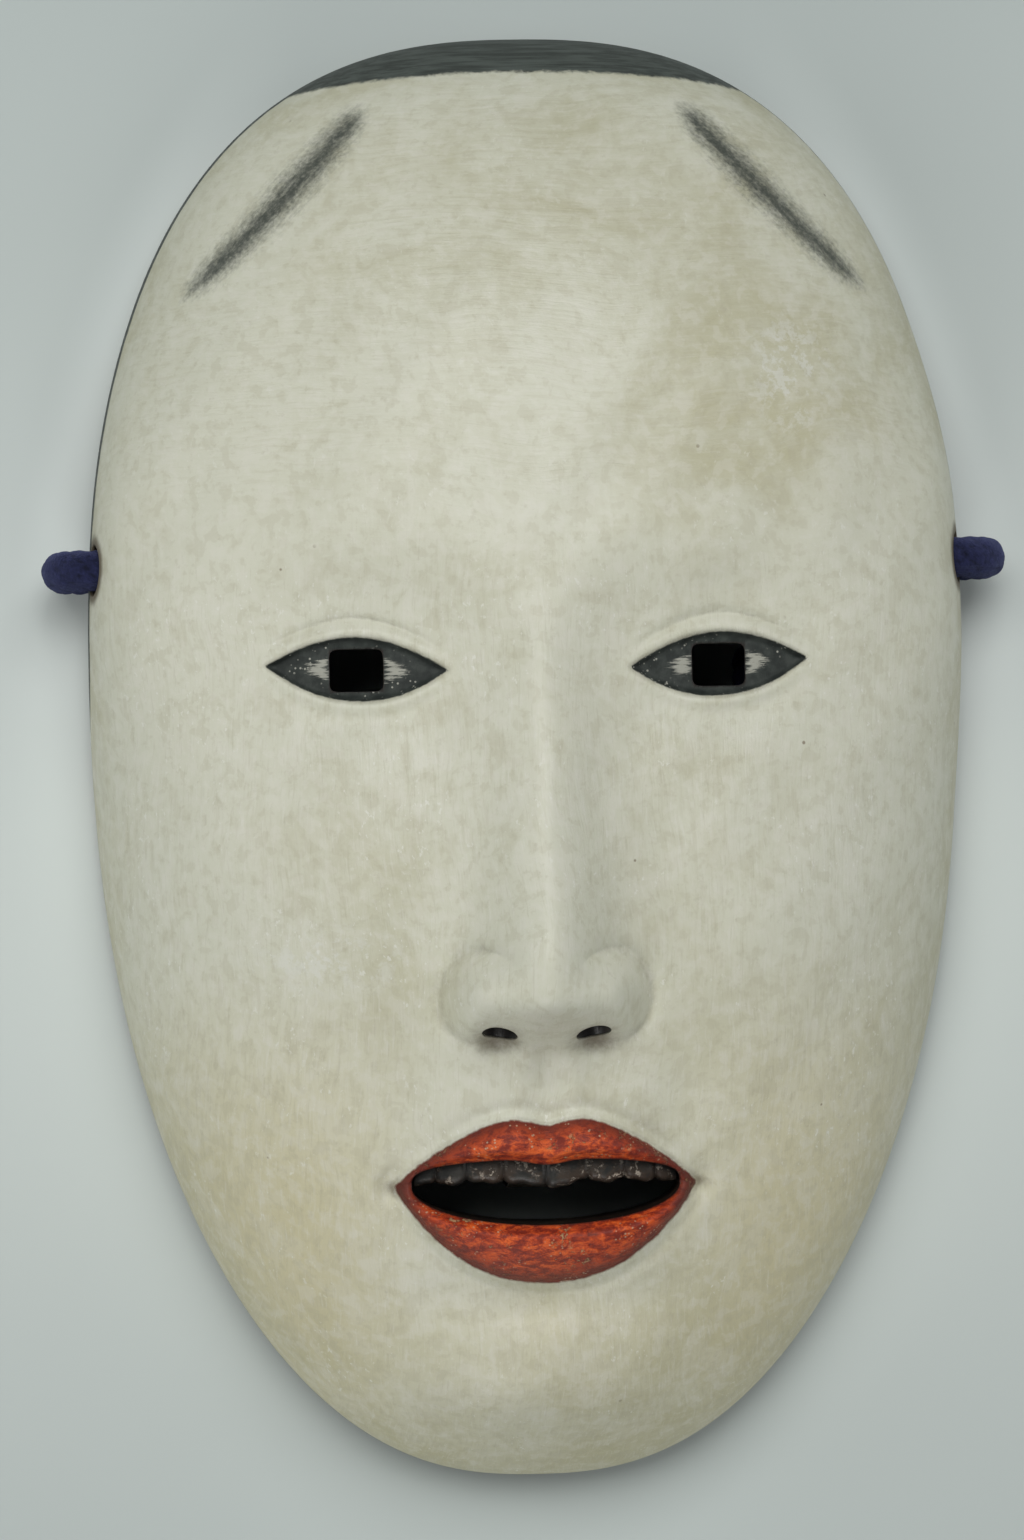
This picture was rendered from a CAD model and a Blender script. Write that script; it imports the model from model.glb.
"""A noh mask of painted cypress, lying face up on its rim, with its silk cords put away behind it.

Sizes are in millimetres, in the frame of the CAD model, and are turned into metres as each mesh is made.
"""
import math

import bpy
import numpy as np
from mathutils import Matrix, Vector


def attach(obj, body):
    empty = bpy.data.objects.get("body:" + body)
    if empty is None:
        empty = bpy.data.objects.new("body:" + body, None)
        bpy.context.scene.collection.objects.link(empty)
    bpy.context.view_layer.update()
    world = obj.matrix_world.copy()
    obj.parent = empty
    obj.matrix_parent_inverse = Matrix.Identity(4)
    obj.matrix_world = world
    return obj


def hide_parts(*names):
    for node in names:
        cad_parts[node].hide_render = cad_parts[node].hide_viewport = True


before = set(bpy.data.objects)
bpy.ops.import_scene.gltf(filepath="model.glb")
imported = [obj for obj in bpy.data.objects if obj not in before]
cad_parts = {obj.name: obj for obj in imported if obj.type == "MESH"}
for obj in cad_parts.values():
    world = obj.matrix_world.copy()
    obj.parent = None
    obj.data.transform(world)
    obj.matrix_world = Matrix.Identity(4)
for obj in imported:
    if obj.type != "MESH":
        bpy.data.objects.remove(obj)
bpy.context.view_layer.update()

MM = 0.001
EASE = 0.06 * MM  # bevel on the edges of the paper
CLOTH_GRAIN = 1.4 * MM  # size of the cloth's cells in the simulation
CLOTH_STEPS = 20
QUILTING = 22  # stitches round each pad

# -------- sizes shared with the CAD model
MASK_H = 212.0
MASK_W = 128.0
FACE_D = 52.0
WALL = 9.0
RIM_W = 6.5
COAT = 0.8
RIM_ARCH = 10.0
PUPIL_W = 7.6
PUPIL_H = 6.0
NOSTRIL_R = 2.3
GAP_W = 38.0
GAP_H = 9.5
CORD_D = 6.0
CORD_HOLE_R = 3.7
COIL_R = 30.0
PAD_T = 9.0

WIDEST_Y = 12.0
HAIRLINE_Y = MASK_H / 2 - 8
THIRD = (HAIRLINE_Y + MASK_H / 2) / 3
BROW_Y = HAIRLINE_Y - THIRD
NOSE_BASE_Y = BROW_Y - THIRD
EYE_Y = BROW_Y - THIRD / 4
EYE_X = MASK_W / 5
MOUTH_Y = NOSE_BASE_Y - THIRD / 3
GRID_Y = NOSE_BASE_Y + 12  # where the spokes of the front's mesh meet

ACROSS_POWER = 2.5
DEPTH_POWER = 2.2
CHIN_TAPER = 0.14
HOLE_Y = 28.0
HOLE_Z = 18.5
ARCH_REACH = 38.0
HOLLOW_D = FACE_D - WALL
TEETH_DROP = 3.5

COIL_CENTRE = np.array([0.0, -23.0])
COIL_LAYER = CORD_D + 0.1
TIE_T = 0.6
TIE_W = 9.0
LOW_COIL_Z = TIE_T + 0.1 + CORD_D / 2
HIGH_COIL_Z = LOW_COIL_Z + 2 * COIL_LAYER

# Routes of the cords, as on the right side. The left cord is mirrored.
LOOP_ROUTE = [
    (36.6, 1, 5.2), (36.9, 5, 6.4), (37.2, 10, 7.4), (37.4, 15, 8.4), (38.2, 19.6, 10.4),
    (40.2, 23.4, 12.8), (43.2, 26.2, 15.4), (47, 27.6, 17.6), (51, 28, 18.5), (55, 28, 18.5),
    (59, 28, 18.5), (62.2, 28, 18.5), (64.5, 28, 18), (66.3, 28, 16.7), (67.3, 28, 14.6),
    (67.5, 28, 12.2), (67.1, 28, 9.6), (66, 28, 7.3), (64.1, 28, 5.5), (61.6, 28, 4.5),
    (58.6, 28, 4), (54.8, 27.2, 3.7), (51, 25, 4.3), (47.8, 22, 5.6), (45.2, 18.2, 6.8),
    (43.8, 13.6, 7.4), (43.4, 8.6, 7),
]
KNOT_CENTRE = np.array([40.4, 12.4, 7.4])
RIGHT, LEFT = SIDES = (1, -1)
# Side, name, height of the coil, lead into it, way out of it, end knot, heading of the threads
CORDS = (
    (RIGHT, "right_cord", LOW_COIL_Z,
     [(42.8, 3.4, 5.6), (41.6, -2, 4.2), (39.8, -8, 3.7), (37.6, -15, 3.7)],
     [(36.5, -28, 9.6), (38.4, -33.4, 8), (41, -39, 6)],
     (42, -42, 5.6), (0.4, -1, -0.3)),
    (LEFT, "left_cord", HIGH_COIL_Z,
     [(43, 3.4, 7.8), (42, -1.4, 9.6), (40.6, -6.4, 11.8), (38.8, -11.6, 14), (37, -17, 15.5)],
     [(36.8, -28, 21.6), (39.4, -32.8, 18.6), (42, -35.6, 13.4), (43.4, -37.6, 8)],
     (43.6, -38.6, 5.6), (0.2, -1, -0.1)),
)

# -------- camera, lights and floor
CAMERA_HEIGHT = 0.95
CAMERA_LEAN = math.radians(2.6)  # towards the viewer's left of straight overhead
CAMERA_ROLL = math.radians(1.0)
VIEW_HEIGHT = 0.2235  # what the frame takes in from top to bottom, at the rim
AIM = Vector((-0.0027, -0.0019, 0.02))
SENSOR = 36
FLOOR_SIZE = 6
FLOOR_Z = -0.05 * MM  # just clear of the rim
LAMP_TARGET = Vector((0, 0, 0.03))
# Each sheet of soft light: name, place, width, power in watts and colour
LIGHTS = (
    ("window", (-0.15, 0.35, 1.00), 0.5, 4.0, (1.0, 0.99, 0.965)),
    ("second window", (0.15, 0.5, 1.00), 0.5, 3.5, (1.0, 0.995, 0.98)),
    ("left sheet", (-0.9, 0.15, 0.4), 0.6, 2.25, (0.99, 0.98, 0.955)),
    ("right sheet", (0.9, 0.1, 0.4), 0.6, 1.85, (0.99, 0.98, 0.96)),
    ("low sheet", (-0.2, -0.95, 0.4), 0.6, 3.6, (0.99, 0.98, 0.955)),
)


def add_object(name, data):
    thing = bpy.data.objects.new(name, data)
    bpy.context.scene.collection.objects.link(thing)
    return thing


def make_camera():
    camera = add_object("camera", bpy.data.cameras.new("camera"))
    offset = Vector((-math.sin(CAMERA_LEAN), 0, math.cos(CAMERA_LEAN))) * CAMERA_HEIGHT
    camera.matrix_world = (
        Matrix.Translation(AIM + offset)
        @ Matrix.Rotation(-CAMERA_LEAN, 4, "Y")
        @ Matrix.Rotation(-CAMERA_ROLL, 4, "Z")
    )
    camera.data.sensor_fit = "VERTICAL"
    camera.data.sensor_height = SENSOR
    camera.data.lens = SENSOR * CAMERA_HEIGHT / VIEW_HEIGHT
    camera.data.clip_start = 0.01
    bpy.context.scene.camera = camera


def make_lights():
    for name, place, size, power, colour in LIGHTS:
        light = bpy.data.lights.new(name, "AREA")
        light.shape = "RECTANGLE"
        light.size = light.size_y = size
        light.energy = power
        light.color = colour
        lamp = add_object(name, light)
        lamp.location = place
        lamp.rotation_euler = (Vector(place) - LAMP_TARGET).to_track_quat("Z", "Y").to_euler()
    world = bpy.data.worlds.new("soft room")
    world.use_nodes = True
    background = world.node_tree.nodes["Background"]
    background.inputs["Color"].default_value = (0.82, 0.89, 0.92, 1)
    background.inputs["Strength"].default_value = 0.1
    bpy.context.scene.world = world
    bpy.context.scene.view_settings.view_transform = "Standard"


# -------- node graphs
class Value:
    """A node's output. Sums are written with it as with a number, and become nodes."""

    def __init__(self, graph, socket):
        self.graph, self.socket = graph, socket

    def __add__(self, other):
        return self.graph.math("ADD", self, other)

    def __mul__(self, other):
        return self.graph.math("MULTIPLY", self, other)

    def __sub__(self, other):
        return self.graph.math("SUBTRACT", self, other)

    def __rsub__(self, other):
        return self.graph.math("SUBTRACT", other, self)

    __radd__, __rmul__ = __add__, __mul__

    def between(self, low, high):
        """0 at low and 1 at high, with a smooth step between them. Low may be over high."""
        return self.graph.node("ShaderNodeMapRange", {
            "Value": self, "From Min": min(low, high), "From Max": max(low, high),
            "To Min": float(low > high), "To Max": float(low < high),
        }, interpolation_type="SMOOTHSTEP")


class Graph:
    """A material's node graph, written as calls. Each call returns the value it makes."""

    def __init__(self, name):
        self.material = bpy.data.materials.new(name)
        self.material.use_nodes = True
        self.tree = self.material.node_tree
        self.place = self.node("ShaderNodeTexCoord", output="Object")

    def put(self, socket, value):
        if isinstance(value, Value):
            self.tree.links.new(value.socket, socket)
        else:
            socket.default_value = value

    def node(self, kind, inputs=(), output=0, **settings):
        node = self.tree.nodes.new(kind)
        for key, value in settings.items():
            setattr(node, key, value)
        for key, value in dict(inputs).items():
            self.put(node.inputs[key], value)
        return Value(self, node.outputs[output])

    def math(self, operation, *inputs):
        return self.node("ShaderNodeMath", enumerate(inputs), operation=operation)

    def vector_math(self, operation, *inputs, output=0):
        return self.node("ShaderNodeVectorMath", enumerate(inputs), output, operation=operation)

    def field(self, name, output="Fac"):
        return self.node("ShaderNodeAttribute", output=output, attribute_name=name)

    def along(self, vector, direction):
        return self.vector_math("DOT_PRODUCT", vector, direction, output="Value")

    def length(self, vector):
        return self.vector_math("LENGTH", vector, output="Value")

    def stretched(self, vector, scale, turn=0.0):
        return self.node("ShaderNodeMapping", {"Vector": vector, "Rotation": (0, 0, turn), "Scale": scale})

    def warped(self, vector, scale, amount):
        """The vector pushed about by a noise, by up to half the amount each way."""
        push = self.node("ShaderNodeTexNoise", {"Vector": vector, "Scale": scale}, "Color")
        return self.vector_math("MULTIPLY_ADD", push, (amount,) * 3, vector)

    def noise(self, scale, detail=4.0, roughness=0.55, distortion=0.0, at=None):
        return self.node("ShaderNodeTexNoise", {
            "Vector": at or self.place, "Scale": scale, "Detail": detail, "Roughness": roughness,
            "Distortion": distortion})

    def streaks(self, scale, turn, *noise, at=None):
        """A noise stretched by a different scale along each axis, after a turn."""
        return self.noise(1.0, *noise, at=self.stretched(at or self.place, scale, turn))

    def cells(self, scale):
        return self.node("ShaderNodeTexVoronoi", {"Vector": self.place, "Scale": scale}, "Distance")

    def waves(self, scale, distortion, detail, direction):
        return self.node("ShaderNodeTexWave", {
            "Vector": self.place, "Scale": scale, "Distortion": distortion, "Detail": detail,
        }, "Fac", bands_direction=direction)

    def mix(self, share, a, b):
        a, b = (c if isinstance(c, Value) else (*c, 1) for c in (a, b))
        return self.node("ShaderNodeMix", {0: share, 6: a, 7: b}, 2, data_type="RGBA")

    def layered(self, colour, *layers):
        """Lays tints over a colour, one after another. Each layer is its share and its tint."""
        for share, tint in layers:
            colour = self.mix(share, colour, tint)
        return colour

    def bump(self, height, distance, strength=1.0):
        return self.node("ShaderNodeBump", {"Height": height, "Distance": distance, "Strength": strength})

    def finish(self, colour, roughness, normal, **constants):
        sockets = self.tree.nodes["Principled BSDF"].inputs
        constants.update(Base_Color=colour, Roughness=roughness, Normal=normal)
        for name, value in constants.items():
            self.put(sockets[name.replace("_", " ")], value)
        return self.material


def gofun_material():
    """Aged white coat with painted hair, brows, eyes and lips. Its fields lie on the mesh."""
    g = Graph("aged gofun")
    warped = g.warped(g.warped(g.place, 17, 0.012), 55, 0.003)
    forehead = g.field("forehead")
    on_cheeks = 1 - forehead

    def brushed(across, down, *noise):
        """Streaks that run across the forehead and down the cheeks, each given as a scale and a turn."""
        over, under = (g.streaks(*run, *noise, at=warped) for run in (across, down))
        return over * forehead + under * on_cheeks

    blotch = g.noise(52, 6, 0.66, 0.8)
    patches = g.noise(170, 5, 0.62, 0.3, warped)
    pebbles = g.noise(420, 3, 0.55, 0.2, warped)
    grain = g.noise(520, 5, 0.72)
    strokes = brushed(((150, 1500, 300), 0.08), ((1350, 170, 300), -0.12), 4, 0.62)
    hairs = brushed(((190, 4200, 300), 0.13), ((3800, 210, 300), -0.19), 3, 0.6)

    # The white itself: cream, with yellow-olive age stains, paler patches, fine streaks, scuffs and nicks
    stain = (blotch + g.noise(16, 3, 0.6)) * 0.5 + g.field("stain") * 0.17
    mottled = 0.3 + blotch.between(0.42, 0.6) * 0.55
    calm = 0.22 - forehead * 0.08
    firm = 0.05 + g.noise(42, 3).between(0.36, 0.64) * 0.15
    fine = 0.14 + on_cheeks * 0.1
    scuff = g.field("scuff").between(0.15, 0.9) * g.noise(330, 5, 0.75).between(0.5, 0.58)
    nicks = g.streaks((1500, 900, 900), 0.6, 3, 0.6, at=warped).between(0.62, 0.68)
    nicks = nicks * g.noise(75, 3).between(0.46, 0.6)
    specks = g.cells(240).between(0.08, 0.045) * g.noise(60, 2).between(0.62, 0.68)
    # Grime gathers in the creases and at the edges of the holes.
    grime = (g.field("crease") + (g.noise(380, 4, 0.75) - 0.5) * 0.75).between(0.22, 1.15)
    colour = g.layered(
        g.mix(stain.between(0.46, 0.8), (0.622, 0.628, 0.52), (0.45, 0.434, 0.29)),
        (g.field("yellowed") * 0.8, (0.585, 0.532, 0.33)),
        (g.field("stain") * mottled, (0.48, 0.452, 0.28)),
        (patches.between(0.5, 0.6) * calm, (0.665, 0.655, 0.57)),
        (patches.between(0.46, 0.37) * calm, (0.47, 0.445, 0.33)),
        (pebbles.between(0.53, 0.61) * 0.24, (0.7, 0.69, 0.62)),
        (pebbles.between(0.46, 0.38) * 0.22, (0.42, 0.395, 0.28)),
        (strokes.between(0.52, 0.64) * firm, (0.7, 0.69, 0.62)),
        (strokes.between(0.48, 0.36) * firm, (0.43, 0.405, 0.29)),
        (hairs.between(0.59, 0.67) * fine, (0.72, 0.715, 0.66)),
        (hairs.between(0.41, 0.33) * (fine * 0.7), (0.36, 0.335, 0.235)),
        (grain.between(0.57, 0.7) * 0.2, (0.36, 0.33, 0.23)),
        (scuff * 0.5, (0.7, 0.71, 0.67)),
        (nicks * (0.25 + on_cheeks * 0.3), (0.76, 0.765, 0.71)),
        (specks * 0.7, (0.16, 0.11, 0.06)),
        (grime * 0.86, (0.105, 0.078, 0.046)),
    )

    # Hair band and side strips, in brushed black
    ragged = (g.streaks((700, 400, 700), 0, 4, 0.7) - 0.5) * 1.3
    hair = (g.field("hair") + ragged).between(-0.35, 0.35)
    hair_tone = g.streaks((110, 1700, 500), 0.05, 5, 0.62)
    black = g.mix(hair_tone.between(0.36, 0.66), (0.034, 0.041, 0.036), (0.078, 0.093, 0.084))

    # Smudged brows: charcoal streaks along the stroke, thinning out at its edges
    brow = g.field("brow")
    charcoal = g.streaks((0.22, 1.7, 1), 0, 5, 0.72, 0.4, at=g.field("brow_place", "Vector"))
    smudge = brow + (charcoal * 0.7 + g.noise(1300, 4, 0.7) - 0.85)
    smudge = smudge.between(0.02, 1.15) * brow.between(0.02, 0.35) * 0.95

    # Eyes: slate black, dry-brushed white beside the pupil, worn flecks
    fleck = g.cells(1500).between(0.3, 0.16) * g.noise(240, 4, 0.7).between(0.52, 0.6)
    lined = (g.field("eye") + (g.noise(1000, 3) - 0.5) * 0.32).between(0.2, -0.06)
    dry = g.streaks((420, 3800, 500), 0.04, 4, 0.7)
    eyeball = (g.field("eyeball") + (dry - 0.5) * 2.6).between(0.22, 0.62)
    eyes = g.layered(
        g.mix(g.noise(600, 4).between(0.35, 0.7), (0.018, 0.023, 0.021), (0.042, 0.05, 0.045)),
        (fleck * 0.75, (0.46, 0.46, 0.4)),
        (eyeball * 0.78, (0.45, 0.45, 0.39)),
    )

    # Lips: vermilion over darker crimson, worn through in places
    lip_edge = g.field("lips") + (g.noise(620, 3) - 0.5) * 0.6
    lip = lip_edge.between(0.16, -0.22)
    mottle = g.noise(600, 5, 0.74, 0.35, g.stretched(g.place, (0.8, 1.35, 1)))
    rubbed = g.noise(120, 5, 0.7)
    core = lip_edge.between(-1.2, -3.4)
    chips = g.noise(850, 4, 0.72, 0.4).between(0.56, 0.61) * g.noise(140, 3).between(0.5, 0.57)
    red = g.layered(
        g.mix(mottle.between(0.38, 0.6), (0.195, 0.018, 0.007), (0.53, 0.06, 0.011)),
        ((mottle + rubbed * 0.5).between(0.72, 0.96) * (0.12 + core * 0.66), (0.88, 0.17, 0.026)),
        (lip_edge.between(-2.4, -0.15) * 0.85, (0.105, 0.014, 0.008)),
        (rubbed.between(0.44, 0.32) * 0.45, (0.13, 0.03, 0.018)),
        (g.field("corner") * 0.8, (0.085, 0.016, 0.01)),
        (chips * (0.25 + core * 0.5), (0.5, 0.33, 0.17)),
        (fleck * 0.6, (0.56, 0.42, 0.28)),
    )

    # Inside the holes the coat turns to bare dark ground.
    colour = g.layered(
        colour, (hair, black), (smudge, (0.036, 0.043, 0.037)), (lined, eyes), (lip, red),
        (g.field("hole"), (0.012, 0.009, 0.007)),
    )
    height = strokes * 0.42 + grain * 0.35 + hairs * 0.12 + g.noise(70, 4) * 0.8
    height = height + lip * (mottle * 1.3 - chips * 0.8)
    roughness = 0.4 + (grime + stain * 0.3) * 0.16 + lip * 0.1 + g.math("MAXIMUM", hair, lined) * 0.24
    return g.finish(colour, roughness, g.bump(height, 0.00022, 0.9), Specular_IOR_Level=0.36)


def wood_material():
    """Cypress under thin brown-black lacquer, worn on the rim, black inside the eyes and mouth."""
    g = Graph("lacquered cypress")
    grain = g.streaks((760, 9, 760), 0, 4, 0.6, at=g.warped(g.place, 14, 0.004))
    fibre = g.streaks((1500, 60, 1500), 0, 5, 0.65)
    streak = (grain * 0.7 + fibre * 0.4).between(0.42, 0.68)
    bare = g.mix(streak, (0.3, 0.165, 0.075), (0.155, 0.075, 0.032))
    coat = g.noise(60, 5, 0.65, 0.5, g.stretched(g.place, (1, 0.5, 1)))
    lacquer = g.mix(coat.between(0.35, 0.7), (0.03, 0.016, 0.01), (0.075, 0.036, 0.018))
    worn = (g.field("worn") + (g.noise(170, 5, 0.7) - 0.5) * 0.9).between(0.35, 0.95)
    colour = g.layered(lacquer, (worn, bare), (g.field("black"), (0.008, 0.007, 0.006)))
    normal = g.bump(fibre * 0.5 + coat * 0.7, 0.00018, 0.8)
    return g.finish(colour, 0.34 + worn * 0.3, normal, Coat_Weight=0.12, Coat_Roughness=0.3)


def teeth_material():
    g = Graph("blackened teeth")
    patch = g.noise(330, 5, 0.7)
    worn = g.noise(190, 4, 0.7).between(0.42, 0.54)
    fleck = g.noise(900, 4, 0.7, 0.3).between(0.53, 0.58)
    fleck = fleck * (worn * g.noise(380, 3).between(0.46, 0.54))
    colour = g.layered(
        g.mix(patch.between(0.35, 0.7), (0.018, 0.019, 0.018), (0.052, 0.05, 0.044)),
        (worn * 0.6, (0.075, 0.05, 0.034)),
        (fleck * 0.9, (0.5, 0.44, 0.36)),
        (g.field("gum"), (0.012, 0.01, 0.009)),
    )
    normal = g.bump(patch + fleck * -0.6, 0.0002)
    return g.finish(colour, 0.38, normal, Coat_Weight=0.12, Coat_Roughness=0.3)


def silk_material():
    """Indigo braid: along and round the cord are fields, so the threads follow every bend."""
    g = Graph("indigo silk braid")
    threads = g.streaks((5.0, 22, 1), 0, 3, 0.6, at=g.field("braid", "Vector"))
    fuzz = g.noise(1300, 4, 0.7)
    colour = g.layered(
        g.mix((threads * 0.5 + fuzz * 0.5).between(0.34, 0.66),
              (0.006, 0.008, 0.026), (0.02, 0.024, 0.078)),
        (g.field("strand").between(0.55, 0.05) * 0.8, (0.002, 0.003, 0.01)),
    )
    return g.finish(colour, 0.88, g.bump(threads * 0.6 + fuzz * 0.8, 0.00035), Specular_IOR_Level=0.2,
                    Sheen_Weight=0.3, Sheen_Roughness=0.45, Sheen_Tint=(0.35, 0.4, 0.9, 1))


def cotton_material():
    g = Graph("padded cotton")
    weave = g.math("MAXIMUM", g.waves(520, 0.8, 1, "X"), g.waves(520, 0.8, 1, "Y"))
    age = g.noise(120, 5, 0.7)
    colour = g.layered(
        g.mix(age.between(0.35, 0.7), (0.6, 0.53, 0.4), (0.4, 0.33, 0.22)),
        (weave.between(0.55, 0.2) * 0.45, (0.28, 0.23, 0.15)),
    )
    return g.finish(colour, 0.9, g.bump(weave + age * 0.5, 0.00016), Sheen_Weight=0.25, Sheen_Roughness=0.5)


def paper_material():
    g = Graph("mulberry paper")
    fibre = g.streaks((260, 900, 260), 0.4, 6, 0.75, 1.2)
    colour = g.mix(fibre.between(0.4, 0.7), (0.66, 0.62, 0.51), (0.52, 0.46, 0.34))
    return g.finish(colour, 0.82, g.bump(fibre + g.noise(500, 4, 0.7) * 0.6, 0.00012))


def floor_material():
    """A pale sheet that greys away from the mask, and is a little paler along its sides."""
    g = Graph("pale studio floor")
    away = g.length(g.stretched(g.vector_math("ADD", g.place, (0, 0.018, 0)), (0.5, 1, 0)))
    far = 1 - g.math("EXPONENT", away * away * (-1 / 0.012))
    haze = (g.noise(12, 3, 0.5) - 0.5) * 0.12
    oval = g.length(g.stretched(g.place, (1 / 0.064, 1 / 0.106, 0)))
    sides = g.math("ABSOLUTE", g.along(g.place, (1, 0, 0))).between(0.03, 0.055)
    upper = 0.06 + g.along(g.place, (0, 1, 0)).between(-0.04, 0.03) * 0.54
    colour = g.layered(
        g.mix(far + haze, (0.645, 0.702, 0.688), (0.405, 0.46, 0.455)),
        (oval.between(1.22, 1.02) * sides * upper, (0.83, 0.9, 0.88)),
    )
    return g.finish(colour, 0.62, g.bump(g.noise(260, 4), 0.00004, 0.4), Specular_IOR_Level=0.2)


# -------- curves of the face
def bell(v):
    return np.exp(-np.square(v))


def ramp(v):
    t = np.clip(v, 0, 1)
    return t * t * (3 - 2 * t)


def fade(v, reach, power):
    """1 in the middle, falling to 0 at the reach."""
    return np.clip(1 - np.abs(v / reach) ** power, 0, 1)


def full_turn(sides):
    return np.linspace(0, 2 * math.pi, sides, endpoint=False)


def rounded_square(angle, power):
    """The x and y of a square of half width 1 with rounded corners, by angle."""
    return (np.sign(w) * np.abs(w) ** power for w in (np.cos(angle), np.sin(angle)))


def swells(x, y, table):
    """Sums up swells. A row has a height, a middle and half width in x, and the same in y."""
    return sum(
        height * bell((np.abs(x) - mid_x) / half_x) * bell((y - mid_y) / half_y)
        for height, mid_x, half_x, mid_y, half_y in table
    )


def smooth_lookup(value, table, blur=2.2):
    """Straight stretches between the table's points, with their corners rounded off."""
    at, height = np.array(table).T
    grid = np.arange(at[0] - 12, at[-1] + 12, 0.25)
    kernel = bell(np.arange(-24, 25) * 0.25 / blur)
    padded = np.interp(grid, at, height)
    smooth = np.convolve(np.pad(padded, 24, mode="edge"), kernel / kernel.sum(), mode="valid")
    return np.interp(value, grid, smooth)


def reach_y(y, inset):
    return np.where(y > WIDEST_Y, MASK_H / 2 - WIDEST_Y, MASK_H / 2 + WIDEST_Y) - inset


def narrowing(u):
    return np.where(u > 0, 1.0, 1 - CHIN_TAPER * u * u)


def outline(inset, spokes):
    """The mask's outline, inset by some millimetres, as points spaced evenly along it."""
    v, u = rounded_square(np.linspace(0, 2 * math.pi, 6001), 2 / ACROSS_POWER)
    y = WIDEST_Y + u * reach_y(WIDEST_Y + u, inset)
    x = (MASK_W / 2 - inset) * narrowing(u) * v
    walked = np.concatenate([[0], np.cumsum(np.hypot(np.diff(x), np.diff(y)))])
    stops = np.linspace(0, walked[-1], spokes, endpoint=False)
    return np.stack([np.interp(stops, walked, x), np.interp(stops, walked, y)], axis=1)


def inside(x, y, inset):
    u = (y - WIDEST_Y) / reach_y(y, inset)
    v = np.abs(x) / ((MASK_W / 2 - inset) * narrowing(u))
    return np.maximum(0, 1 - v ** ACROSS_POWER - np.abs(u) ** ACROSS_POWER)


def rim_z(x, y):
    along = ramp((ARCH_REACH - np.abs(y - HOLE_Y)) / (0.8 * ARCH_REACH))
    return RIM_ARCH * along * ramp((np.abs(x) - 30) / 14)


def dome(x, y, depth, inset):
    low = rim_z(x, y)
    return low + (depth - low) * inside(x, y, inset) ** (1 / DEPTH_POWER)


NOSE_LINE = [
    (-45, 0), (-41, 2.4), (-38, 9.5), (-34, 15), (-30, 16.6), (-25, 16), (-16, 12.6), (-4, 8.6),
    (EYE_Y, 4.6), (EYE_Y + 8, 2.4), (BROW_Y + 6, 0),
]
NOSE_HALF = [
    (-45, 11), (-38, 9.6), (-30, 9.2), (-22, 8.8), (-6, 8), (EYE_Y, 7.5), (BROW_Y, 10),
]

# What is added to the dome beside the nose, as in the CAD model
RELIEF = (
    (5.2, 9.8, 3.8, -33.5, 5),  # wings of the nose
    (-5.5, 24, 14, EYE_Y + 1, 9.5),  # eye sockets
    (3.4, EYE_X, 11, EYE_Y, 6.5),  # eyeballs
    (1.6, 0, 34, BROW_Y + 28, 30),  # forehead
    (3.0, 33, 17, -22, 20),  # cheeks
    (3.4, 0, 24, MOUTH_Y, 17),  # mouth
    (-2.6, 0, 16, MOUTH_Y - 17, 4.5),  # under the lip
    (5.0, 0, 17, -90, 10),  # chin
)
# What is finer than the CAD model carries
FINE_RELIEF = (
    (0.7, 0, 5.6, -30, 5),  # tip of the nose
    (2.1, 0, 6.2, -35.4, 3.3),
    (0.8, 5.2, 2.4, -34.5, 3.6),
    (-2.8, 6.6, 3.1, NOSE_BASE_Y - 1.7, 2.1),  # nostrils
    (-0.7, 0, 1.6, -41.5, 2.2),
    (-0.85, 0, 2.3, -46.5, 4.4),  # philtrum
    (0.4, 4.0, 1.6, -47, 4.4),
    (-0.8, 0, 2.2, MOUTH_Y + 6.8, 2.4),  # dip in the upper lip
    (0.9, 25, 17, BROW_Y + 1, 6.5),  # brow
    (-0.9, 20, 5, -50, 10),  # inner cheeks
    (-1.3, 50, 9, 36, 18),  # temples
)


def gap_share(x):
    return np.sqrt(fade(x, GAP_W / 2, 2))


def gap_top(x):
    return MOUTH_Y + GAP_H * 0.42 * gap_share(x) ** 0.6 - 0.9 * bell(x / 3.5)


def gap_bottom(x):
    return MOUTH_Y - GAP_H * 0.58 * gap_share(x)


def distance_map(loop, margin=26.0, step=0.2):
    """A function of x and y that gives the distance to a closed loop, negative inside it."""
    low, high = loop.min(axis=0) - margin, loop.max(axis=0) + margin
    gx, gy = (np.arange(low[k], high[k], step) for k in (0, 1))
    x, y = np.meshgrid(gx, gy, indexing="ij")
    best = np.full(x.shape, 1e9)
    within = np.zeros(x.shape, dtype=bool)
    for (ax, ay), (bx, by) in zip(loop, np.roll(loop, -1, axis=0)):
        dx, dy = bx - ax, by - ay
        t = np.clip(((x - ax) * dx + (y - ay) * dy) / (dx * dx + dy * dy + 1e-12), 0, 1)
        best = np.minimum(best, (x - ax - t * dx) ** 2 + (y - ay - t * dy) ** 2)
        if ay != by:
            within ^= ((ay > y) != (by > y)) & (x < ax + (y - ay) * dx / dy)
    signed = np.where(within, -1, 1) * np.sqrt(best)

    def at(px, py):
        fx = np.clip((px - low[0]) / step, 0, len(gx) - 1.001)
        fy = np.clip((py - low[1]) / step, 0, len(gy) - 1.001)
        i, j = fx.astype(int), fy.astype(int)
        u, v = fx - i, fy - j
        near, far = (signed[i, k] * (1 - u) + signed[i + 1, k] * u for k in (j, j + 1))
        return near * (1 - v) + far * v

    return at


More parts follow.
